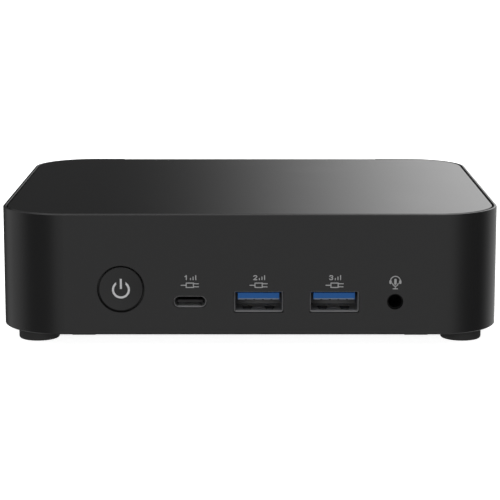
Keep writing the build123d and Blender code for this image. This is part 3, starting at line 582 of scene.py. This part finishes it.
def stroke(name: str, path: np.ndarray, width: float, depth: float, normal: Point) -> bpy.types.Object:
    """A flat printed or pressed line: an oval section carried along a path, tapering round at its ends.

    The section at arc length s is w(s) wide across the path and depth thick along the normal. w(s)
    follows a half circle over the first and the last half width, and is constant between them.

    Args:
        name: object name.
        path: array of shape (n, 3), the line's middle.
        width: full width of the line.
        depth: full thickness along the normal.
        normal: unit normal of the surface it lies on.

    Returns:
        The new object.
    """
    half = width / 2
    step = np.linalg.norm(np.diff(path, axis=0), axis=1)
    along = np.concatenate([[0.0], np.cumsum(step)])
    total = along[-1]
    cap = half * (1 - np.cos(np.linspace(0.12, math.pi / 2, 5)))
    samples = np.concatenate([cap - half, np.linspace(0, total, max(3, len(path)))[1:-1], total + half - cap[::-1]])
    inner = np.clip(samples, 0, total)
    middle = np.stack([np.interp(inner, along, path[:, axis]) for axis in range(3)], -1)
    ahead = np.stack([np.interp(np.clip(inner + 1e-5, 0, total), along, path[:, axis]) for axis in range(3)], -1)
    behind = np.stack([np.interp(np.clip(inner - 1e-5, 0, total), along, path[:, axis]) for axis in range(3)], -1)
    tangent = ahead - behind
    tangent /= np.linalg.norm(tangent, axis=1, keepdims=True)
    middle = middle + tangent * (samples - inner)[:, None]
    beyond = np.abs(samples - inner)
    reach = np.sqrt(np.clip(half**2 - beyond**2, (half * 0.05) ** 2, None))
    across = np.cross(tangent, np.array(normal))
    angle = np.linspace(0, 2 * math.pi, 12, endpoint=False)
    side = np.sign(np.cos(angle)) * np.abs(np.cos(angle)) ** 0.6
    rise = np.sign(np.sin(angle)) * np.abs(np.sin(angle)) ** 0.6
    points = (middle[:, None, :] + across[:, None, :] * (reach[:, None] * side)[:, :, None]
              + np.array(normal)[None, None, :] * (depth / 2 * rise)[None, :, None])
    return grid_mesh(name, points, True, True)


def bar(name: str, span_x: tuple[float, float], y: tuple[float, float], z: tuple[float, float]) -> bpy.types.Object:
    """A straight bar along X: a superellipse section, nearly a rectangle, kept the same along it.

    Args:
        name: object name.
        span_x: its two ends.
        y: middle and half size along Y.
        z: middle and half size along Z.

    Returns:
        The new object.
    """
    angle = np.linspace(0, 2 * math.pi, 24, endpoint=False)
    side = np.sign(np.cos(angle)) * np.abs(np.cos(angle)) ** 0.15
    rise = np.sign(np.sin(angle)) * np.abs(np.sin(angle)) ** 0.15
    along = np.linspace(span_x[0], span_x[1], 4)
    points = np.empty((along.size, angle.size, 3))
    points[..., 0] = along[:, None]
    points[..., 1] = (y[0] + y[1] * side)[None, :]
    points[..., 2] = (z[0] + z[1] * rise)[None, :]
    return grid_mesh(name, points, True, True)


def arc(centre: tuple[float, float], radii: tuple[float, float], start: float, end: float,
        y: float, count: int = 24) -> np.ndarray:
    """Points of an upright elliptic arc at depth y, angles in degrees from +X towards +Z."""
    turn = np.radians(np.linspace(start, end, count))
    return np.stack([centre[0] + radii[0] * np.cos(turn), np.full(count, y), centre[1] + radii[1] * np.sin(turn)], -1)


def line(first: tuple[float, float], last: tuple[float, float], y: float) -> np.ndarray:
    """Points of an upright straight line at depth y."""
    share = np.linspace(0, 1, 6)
    return np.stack([first[0] + (last[0] - first[0]) * share, np.full(6, y),
                     first[1] + (last[1] - first[1]) * share], -1)


# --------------------------------------------------------------- sub-assemblies
@dataclass
class SubAssembly:
    """CAD nodes that belong together, with their finishes, and the fine parts added to them."""

    palette: Palette

    def finishes(self) -> dict[str, tuple[str, ...]]:
        """Names the CAD nodes of each finish."""
        return {}

    def dress(self) -> None:
        """Gives every CAD node of the sub-assembly its finish."""
        for key, nodes in self.finishes().items():
            for node in nodes:
                dress(node, self.palette[key])

    def place(self, piece: bpy.types.Object, finish: str, slot: str) -> None:
        """Finishes a new piece and ties it to the case.

        Args:
            piece: the new object.
            finish: palette key.
            slot: not used.
        """
        piece.data.materials.append(self.palette[finish])
        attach(piece, Body.CASE.value)
        LOG.info("built %s", piece.name)

    def build(self) -> None:
        """Builds the whole sub-assembly."""
        self.dress()


@dataclass
class Enclosure(SubAssembly):
    """Housing, rear panel, lid, bottom cover with its screws, and the feet."""

    def finishes(self) -> dict[str, tuple[str, ...]]:
        """Names the CAD nodes of each finish."""
        return {
            "shell": ("housing", "rear_panel"),
            "lid": ("top_lid",),
            "cover": ("bottom_cover",),
            "rubber": ("foot_front_left", "foot_front_right", "foot_rear_left", "foot_rear_right"),
            "screw": ("cover_screws",),
        }


@dataclass
class PowerControl(SubAssembly):
    """The pressed cap with its light symbol, and the switch behind it."""

    def finishes(self) -> dict[str, tuple[str, ...]]:
        """Names the CAD nodes of each finish."""
        return {"button": ("power_button",), "symbol": ("power_symbol",), "dark": ("power_switch", "switch_plunger")}


@dataclass
class SmallSockets(SubAssembly):
    """Oval socket, headset jack, and the power, video and network sockets at the back."""

    lining_half: float = 3.3 * MM
    lining_len: float = 6.4 * MM
    lining_lead: float = 0.08 * MM
    lining_lift: float = 0.27 * MM
    lining_t: float = 0.06 * MM

    def finishes(self) -> dict[str, tuple[str, ...]]:
        """Names the CAD nodes of each finish."""
        return {
            "steel": ("oval_port_shell", "video_port_one_shell", "video_port_two_shell", "lan_shield"),
            "dark": ("oval_port_insulator", "video_port_one_insulator", "video_port_two_insulator", "lan_insert",
                     "dc_inlet"),
            "gold": ("lan_contacts", "dc_inlet_pin"),
            "jack": ("audio_jack",),
        }

    def build(self) -> None:
        """Dresses the nodes and lays a lighter sheet on the floor of the oval socket: painted light, a brighter copy
        of the plating where the lower part of the opening is lit.
        """
        self.dress()
        low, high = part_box("oval_port_shell")
        x = (low[0] + high[0]) / 2
        y = low[1] + self.lining_lead + self.lining_len / 2
        # painted light: this sheet brightens the floor of the oval socket
        lining = bar("oval_port_painted_light", (x - self.lining_half, x + self.lining_half), (y, self.lining_len / 2),
                     (low[2] + self.lining_lift, self.lining_t / 2))
        self.place(lining, "lining", "socket_steel")


@dataclass
class Electronics(SubAssembly):
    """Board, plug-in parts and the small parts soldered to the board."""

    def finishes(self) -> dict[str, tuple[str, ...]]:
        """Names the CAD nodes of each finish."""
        return {
            "board": ("motherboard", "memory_front_module", "memory_rear_module", "solid_state_drive", "radio_card"),
            "dark": ("memory_front_socket", "memory_rear_socket", "solid_state_drive_socket", "radio_card_socket",
                     "coin_cell_holder"),
            "chip": ("processor", "power_chokes"),
            "screw": ("board_screws", "card_screws"),
            "gold": ("aerial_left", "aerial_right"),
            "cell": ("coin_cell",),
        }


@dataclass
class Cooler(SubAssembly):
    """Blower, cold plate, heat pipes and fins."""

    def finishes(self) -> dict[str, tuple[str, ...]]:
        """Names the CAD nodes of each finish."""
        return {"fan": ("blower_housing", "blower_cover", "impeller"), "copper": ("heat_pipes", "cold_plate"),
                "fin": ("fin_stack",)}


@dataclass
class PortMarks(SubAssembly):
    """Generic printed marks over the front sockets: a numeral and bars over a small plug outline."""

    line_width: float = 0.27 * MM
    depth: float = 0.02 * MM
    upper_z: tuple[float, float] = (18.38 * MM, 19.48 * MM)
    lower_z: tuple[float, float] = (16.26 * MM, 17.46 * MM)
    digit_w: float = 0.85 * MM

    def _digit_paths(self, value: int, x: float, y: float) -> list[np.ndarray]:
        """Strokes of a numeral from 1 to 3.

        Args:
            value: the numeral.
            x: its middle.
            y: depth of the print.

        Returns:
            One path for each stroke.
        """
        low, high = self.upper_z
        half, mid = self.digit_w / 2, (self.upper_z[0] + self.upper_z[1]) / 2
        bowl = (high - low) / 4
        if value == 1:
            return [line((x, low), (x, high), y), line((x - half * 0.8, high - bowl), (x, high), y)]
        top = arc((x, high - bowl), (half, bowl), 165, -40 if value == 2 else -90, y)
        if value == 2:
            foot = line((x - half, low), (x + half, low), y)
            joint = line((float(top[-1, 0]), float(top[-1, 2])), (x - half, low), y)
            return [top, joint, foot]
        return [top, arc((x, mid - bowl), (half, bowl), 90, -165, y)]

    def _bar_paths(self, x: float, y: float) -> list[np.ndarray]:
        """Strokes of three upright bars that grow in even steps, a plain sign for a fast socket.

        Args:
            x: middle of the bars.
            y: depth of the print.

        Returns:
            One path for each bar.
        """
        low, high = self.upper_z
        return [line((x + i * 0.7 * MM, low), (x + i * 0.7 * MM, low + (high - low) * (0.66 + 0.34 * i)), y)
                for i in (-1, 0, 1)]

    def _plug_paths(self, x: float, y: float, half: float) -> list[np.ndarray]:
        """Strokes of a small generic plug seen from its side: body, nose and lead.

        Args:
            x: middle of the mark.
            y: depth of the print.
            half: half its length.

        Returns:
            One path for each stroke.
        """
        low, high = self.lower_z
        mid = (low + high) / 2
        inset, pin = half * 0.42, 0.42 * MM
        return [line((x - inset, low), (x - inset, high), y), line((x + inset, low), (x + inset, high), y),
                line((x - inset, high), (x + inset, high), y), line((x - inset, low), (x + inset, low), y),
                line((x + inset, mid + pin), (x + half, mid + pin), y),
                line((x + inset, mid - pin), (x + half, mid - pin), y),
                line((x - half, mid), (x - inset, mid), y)]

    def build(self) -> None:
        """Prints one mark over each front data socket."""
        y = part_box("housing")[0][1]
        sockets = ("oval_port_shell", "data_port_left_shell", "data_port_right_shell")
        for value, node in enumerate(sockets, 1):
            low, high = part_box(node)
            x = (low[0] + high[0]) / 2
            paths = self._digit_paths(value, x - 0.9 * MM, y) + self._bar_paths(x + 0.9 * MM, y)
            paths += self._plug_paths(x, y, 2.3 * MM)
            parts = [stroke("part", path, self.line_width, self.depth, (0.0, -1.0, 0.0)) for path in paths]
            self.place(joined(f"print_mark_{value}", parts), "ink", "symbol_light_guide")


@dataclass
class HeadsetMark(SubAssembly):
    """Printed headset with a small microphone, over the audio jack."""

    centre_z: float = 17.65 * MM
    band_r: float = 1.30 * MM
    line_width: float = 0.26 * MM
    depth: float = 0.02 * MM

    def build(self) -> None:
        """Prints the mark."""
        low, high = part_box("audio_jack")
        x = (low[0] + high[0]) / 2
        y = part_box("housing")[0][1]
        z, r = self.centre_z, self.band_r
        thin = [arc((x, z + 0.35 * MM), (r, r), 0, 180, y),
                arc((x, z + 0.1 * MM), (r * 0.62, 1.15 * MM), 200, 340, y)]
        thick = [line((x - r, z + 0.3 * MM), (x - r, z - 0.15 * MM), y),
                 line((x + r, z + 0.3 * MM), (x + r, z - 0.15 * MM), y),
                 line((x, z + 0.65 * MM), (x, z - 0.35 * MM), y)]
        stem = [line((x, z - 1.0 * MM), (x, z - 1.75 * MM), y),
                line((x - 0.6 * MM, z - 1.75 * MM), (x + 0.6 * MM, z - 1.75 * MM), y)]
        normal = (0.0, -1.0, 0.0)
        parts = [stroke("part", path, self.line_width, self.depth, normal) for path in thin + stem]
        parts += [stroke("part", path, self.line_width * 2.4, self.depth * 1.2, normal) for path in thick]
        self.place(joined("print_headset", parts), "ink", "symbol_light_guide")


@dataclass
class WideSockets(SubAssembly):
    """Wide data sockets: grip springs in the shell's windows, darkened as painted shade; a pale strip along each
    tongue's lower edge as a painted highlight; and a grey sheet of painted shade under each tongue.
    """

    opening_h: float = 5.72 * MM
    spring_x: float = 3.0 * MM
    spring_root: float = 2.0 * MM
    spring_lift: float = 0.15 * MM
    lip_half: float = 5.3 * MM
    lip_h: float = 0.36 * MM
    lip_t: float = 0.16 * MM
    tip_pitch: float = 2.3 * MM
    tip_w: float = 0.35 * MM
    tip_h: float = 0.26 * MM
    contact_t: float = 0.20 * MM
    plate_depth: float = 9.45 * MM
    plate_half: float = 6.2 * MM
    plate_t: float = 0.16 * MM
    plate_lift: float = 0.36 * MM
    wide: float = 2.7 * MM
    narrow: float = 1.6 * MM
    length: float = 5.2 * MM
    sheet: float = 0.2 * MM
    bend: float = 0.42 * MM

    def _leaf(self, x: float, y: float, z: float, inward: float, up: float) -> bpy.types.Object:
        """One leaf: width falls evenly along it, and its height follows a half sine wave.

        Args:
            x: middle of the leaf.
            y: its root.
            z: height of the sheet that it is cut from.
            inward: +1 when the socket runs towards +Y, -1 otherwise.
            up: +1 when the leaf bends up, -1 when it bends down.

        Returns:
            The leaf.
        """
        along = np.linspace(0, 1, 14)
        half = (self.wide + (self.narrow - self.wide) * along) / 2
        rise = self.bend * np.sin(math.pi * along * 0.78) * up
        angle = np.linspace(0, 2 * math.pi, 12, endpoint=False)
        side = np.sign(np.cos(angle)) * np.abs(np.cos(angle)) ** 0.35
        thick = np.sign(np.sin(angle)) * np.abs(np.sin(angle)) ** 0.35 * self.sheet / 2
        points = np.empty((along.size, angle.size, 3))
        points[..., 0] = x + half[:, None] * side[None, :]
        points[..., 1] = (y + inward * self.length * (1 - along))[:, None]
        points[..., 2] = z + rise[:, None] + thick[None, :]
        return grid_mesh("leaf", points, True, True)

    def finishes(self) -> dict[str, tuple[str, ...]]:
        """Names the CAD nodes of each finish."""
        sockets = ("data_port_left", "data_port_right", "rear_data_port")
        return {"steel": tuple(name + "_shell" for name in sockets),
                "blue": tuple(name + "_insulator" for name in sockets),
                "gold": tuple(name + "_contacts" for name in sockets)}

    def _springs(self, socket: str, inward: float, floors: list[float]) -> None:
        """Builds the four springs of each opening of a socket, in a darker copy of the plating as painted shade.

        Args:
            socket: start of the socket's node names.
            inward: +1 when the socket runs towards +Y, -1 otherwise.
            floors: height of the lowest sheet of each opening.
        """
        low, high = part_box(socket + "_shell")
        root = (low[1] if inward > 0 else high[1]) + inward * self.spring_root
        x = (low[0] + high[0]) / 2
        parts = []
        for floor in floors:
            top = floor + self.opening_h - self.spring_lift
            for offset in (-self.spring_x, self.spring_x):
                parts.append(self._leaf(x + offset, root, floor + self.spring_lift, inward, 1.0))
                parts.append(self._leaf(x + offset, root, top, inward, -0.4))
        self.place(joined(socket + "_springs", parts), "spring", "socket_steel")

    def _highlight_lips(self, socket: str, inward: float, undersides: list[float]) -> None:
        """Builds a pale strip along each tongue's lower edge, a painted highlight where the edge catches light, and
        the contact tips bent up over it.

        Args:
            socket: start of the socket's node names.
            inward: +1 when the socket runs towards +Y, -1 otherwise.
            undersides: height of each tongue's lower face.
        """
        low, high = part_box(socket + "_insulator")
        y = low[1] if inward > 0 else high[1]
        x = (low[0] + high[0]) / 2
        normal = (0.0, -inward, 0.0)
        lips, tips = [], []
        for z in undersides:
            middle = z + self.lip_h / 2
            path = line((x - self.lip_half, middle), (x + self.lip_half, middle), y)
            lips.append(stroke("lip", path, self.lip_h, self.lip_t, normal))
            for step in (-1.5, -0.5, 0.5, 1.5):
                tip_x = x + step * self.tip_pitch
                path = line((tip_x - self.tip_w / 2, z), (tip_x + self.tip_w / 2, z), y)
                tips.append(stroke("tip", path, self.tip_h, self.lip_t * 2, normal))
        # painted highlight: the pale strips light up the tongue's lower edge
        self.place(joined(socket + "_highlight_lips", lips), "edge", "socket_blue")
        self.place(joined(socket + "_tips", tips), "dark", "socket_black")

    def _shade_plates(self, socket: str, inward: float, floors: list[float], undersides: list[float]) -> None:
        """Builds a grey sheet across the back of each opening under its tongue: painted shade, standing in for the
        shadow on the insulator block there.

        Args:
            socket: start of the socket's node names.
            inward: +1 when the socket runs towards +Y, -1 otherwise.
            floors: height of the lowest sheet of each opening.
            undersides: height of each tongue's lower face.
        """
        low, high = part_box(socket + "_shell")
        y = (low[1] if inward > 0 else high[1]) + inward * self.plate_depth
        x = (low[0] + high[0]) / 2
        plates = [bar("plate", (x - self.plate_half, x + self.plate_half), (y, self.plate_t / 2),
                      ((floor + self.plate_lift + underside) / 2, (underside - floor - self.plate_lift) / 2))
                  for floor, underside in zip(floors, undersides)]
        # painted shade: these sheets darken the shaded back of each opening
        self.place(joined(socket + "_shade_plates", plates), "wall", "socket_steel")

    def build(self) -> None:
        """Builds the springs, the pale highlight lips and the painted-shade back plates of every wide socket."""
        self.dress()
        for socket, inward in (("data_port_left", 1.0), ("data_port_right", 1.0), ("rear_data_port", -1.0)):
            low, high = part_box(socket + "_shell")
            contact_low, contact_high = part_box(socket + "_contacts")
            stacked = high[2] - low[2] > 1.5 * self.opening_h
            floors, undersides = [low[2]], [contact_high[2]]
            if stacked:
                floors.append(high[2] - self.opening_h)
                undersides.append(contact_low[2] + self.contact_t)
            self._springs(socket, inward, floors)
            self._highlight_lips(socket, inward, undersides)
            self._shade_plates(socket, inward, floors, undersides)


# ------------------------------------------------------------------- the stage
@dataclass
class Studio:
    """Pale floor, soft lights and the camera."""

    eye: Point = (0.0, -0.5558, 0.11541)
    tilt_deg: float = 10.13
    lens: float = 136.7
    sensor: float = 36.0
    floor_half: float = 3.0
    fill: float = 0.048
    front: float = 0.57
    left: float = 0.50
    behind: float = 1.25
    step_x: tuple[float, float] = (-0.105, 0.15)
    wide_x: tuple[float, float] = (0.20, 0.45)
    wide_share: float = 0.48

    def _camera(self) -> None:
        """Places the camera at the front, slightly above."""
        data = bpy.data.cameras.new("camera")
        data.lens, data.sensor_width = self.lens, self.sensor
        data.clip_start, data.clip_end = 0.01, 50.0
        camera = bpy.data.objects.new("camera", data)
        camera.location = self.eye
        camera.rotation_euler = (math.radians(90 - self.tilt_deg), 0.0, 0.0)
        bpy.context.scene.collection.objects.link(camera)
        bpy.context.scene.camera = camera

    def _light(self, name: str, place: Point, aim: Point, size: tuple[float, float], watts: float,
               mirrored: bool = False) -> None:
        """Adds a soft rectangular light.

        Args:
            name: its name.
            place: where it stands.
            aim: the point it faces.
            size: width and height.
            watts: power.
            mirrored: whether it shows in glossy surfaces.
        """
        data = bpy.data.lights.new(name, "AREA")
        data.shape, data.size, data.size_y, data.energy = "RECTANGLE", size[0], size[1], watts
        light = bpy.data.objects.new(name, data)
        light.location = place
        light.visible_glossy = mirrored
        forward = np.array(aim) - np.array(place)
        flat = math.hypot(forward[0], forward[1])
        light.rotation_euler = (math.atan2(flat, -forward[2]), 0.0, math.atan2(-forward[0], forward[1]))
        bpy.context.scene.collection.objects.link(light)

    def _world(self) -> None:
        """White to the eye; to the object, dim in front and bright behind on the right."""
        world = bpy.data.worlds.new("studio")
        bpy.context.scene.world = world
        world.use_nodes = True
        tree = world.node_tree
        tree.nodes.clear()
        out = tree.nodes.new("ShaderNodeOutputWorld")
        mix = tree.nodes.new("ShaderNodeMixShader")
        seen = tree.nodes.new("ShaderNodeBackground")
        seen.inputs["Color"].default_value = (1, 1, 1, 1)
        lit = tree.nodes.new("ShaderNodeBackground")
        path = tree.nodes.new("ShaderNodeLightPath")
        coords = tree.nodes.new("ShaderNodeTexCoord")
        split = tree.nodes.new("ShaderNodeSeparateXYZ")
        tree.links.new(coords.outputs["Generated"], split.inputs["Vector"])
        side, depth = split.outputs["X"], split.outputs["Y"]
        right = self._ramp(tree, side, *self.step_x, 0.0, 1.0)
        right = self._maths(tree, "MULTIPLY", right, right)
        back = self._ramp(tree, depth, 0.0, 0.75, 0.0, self.behind)
        ahead = self._ramp(tree, side, -0.62, -0.10, 0.0, self.front)
        ahead = self._maths(tree, "MULTIPLY", ahead, self._ramp(tree, side, 0.92, 0.45, 0.0, 1.0))
        ahead = self._maths(tree, "MULTIPLY", ahead, self._ramp(tree, depth, 0.0, -0.4, 0.0, 1.0))
        left = self._ramp(tree, side, -0.10, -0.40, 0.0, self.left)
        left = self._maths(tree, "MULTIPLY", left, self._ramp(tree, depth, -0.50, 0.20, 0.0, 1.0))
        left = self._maths(tree, "MULTIPLY", left, self._ramp(tree, depth, 0.90, 0.50, 0.0, 1.0))
        glow = self._maths(tree, "MULTIPLY", right, back)
        glow = self._maths(tree, "MULTIPLY", glow, self._ramp(tree, side, *self.wide_x, 1.0, self.wide_share))
        strength = self._maths(tree, "ADD", self._maths(tree, "ADD", glow, ahead),
                               self._maths(tree, "ADD", left, self.fill))
        tree.links.new(strength, lit.inputs["Strength"])
        tree.links.new(path.outputs["Is Camera Ray"], mix.inputs["Fac"])
        tree.links.new(lit.outputs["Background"], mix.inputs[1])
        tree.links.new(seen.outputs["Background"], mix.inputs[2])
        tree.links.new(mix.outputs["Shader"], out.inputs["Surface"])

    @staticmethod
    def _ramp(tree: bpy.types.NodeTree, source: object, low: float, high: float, a: float, b: float) -> object:
        """Smooth step of source from low..high to a..b."""
        node = tree.nodes.new("ShaderNodeMapRange")
        node.interpolation_type = "SMOOTHSTEP"
        tree.links.new(source, node.inputs["Value"])
        for key, value in zip(("From Min", "From Max", "To Min", "To Max"), (low, high, a, b)):
            node.inputs[key].default_value = value
        return node.outputs["Result"]

    @staticmethod
    def _maths(tree: bpy.types.NodeTree, operation: str, first: object, second: object) -> object:
        """Math node of two inputs, each a number or a socket."""
        node = tree.nodes.new("ShaderNodeMath")
        node.operation = operation
        for index, value in enumerate((first, second)):
            if isinstance(value, (int, float)):
                node.inputs[index].default_value = value
            else:
                tree.links.new(value, node.inputs[index])
        return node.outputs[0]

    def _floor(self) -> None:
        """Pale floor under the feet, kept near white to the eye."""
        half = self.floor_half
        share = np.linspace(-half, half, 3)
        grid = np.stack([*np.meshgrid(share, share, indexing="xy"), np.full((3, 3), -0.0001)], -1)
        floor = grid_mesh("floor", grid, False, False)
        floor.data.flip_normals()
        material = bpy.data.materials.new("pale_floor")
        material.use_nodes = True
        tree = material.node_tree
        bsdf = tree.nodes["Principled BSDF"]
        bsdf.inputs["Base Color"].default_value = (0.9, 0.9, 0.9, 1)
        bsdf.inputs["Roughness"].default_value = 0.9
        bsdf.inputs["Specular IOR Level"].default_value = 0.0
        path = tree.nodes.new("ShaderNodeLightPath")
        bsdf.inputs["Emission Color"].default_value = (1, 1, 1, 1)
        bsdf.inputs["Emission Strength"].default_value = 0.90
        mix = tree.nodes.new("ShaderNodeMixShader")
        clear = tree.nodes.new("ShaderNodeBsdfTransparent")
        geometry = tree.nodes.new("ShaderNodeNewGeometry")
        above = self._maths(tree, "SUBTRACT", path.outputs["Is Camera Ray"], geometry.outputs["Backfacing"])
        tree.links.new(above, mix.inputs["Fac"])
        tree.links.new(clear.outputs[0], mix.inputs[1])
        tree.links.new(bsdf.outputs[0], mix.inputs[2])
        tree.links.new(mix.outputs[0], tree.nodes["Material Output"].inputs["Surface"])
        floor.data.materials.append(material)

    def build(self) -> None:
        """Builds the whole stage."""
        bpy.context.scene.view_settings.view_transform = "Standard"
        self._floor()
        self._world()
        self._light("overhead", (0.0, -0.1, 0.9), (0.0, 0.0, 0.0), (1.3, 1.3), 6.5, True)
        self._light("front_fill", (-0.25, -1.2, 0.26), (0.0, 0.0, 0.02), (0.8, 0.3), 3.6)
        self._light("back_fill", (0.25, 1.2, 0.35), (0.0, 0.0, 0.02), (0.8, 0.4), 3.6)
        self._camera()


def main() -> None:
    """Builds the sub-assemblies in order, then the stage."""
    logging.basicConfig(level=logging.INFO, format="%(name)s: %(message)s")
    palette = Palette()
    assemblies = [kind(palette) for kind in (Enclosure, PowerControl, SmallSockets, WideSockets, Electronics,
                                             Cooler, PortMarks, HeadsetMark)]
    for maker in (*assemblies, Studio()):
        maker.build()
        LOG.info("finished %s", type(maker).__name__)
    dressed = {node for maker in assemblies for nodes in maker.finishes().values() for node in nodes}
    for node in sorted(set(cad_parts) - dressed):
        LOG.warning("no finish for %s", node)


if __name__ == "__main__":
    main()
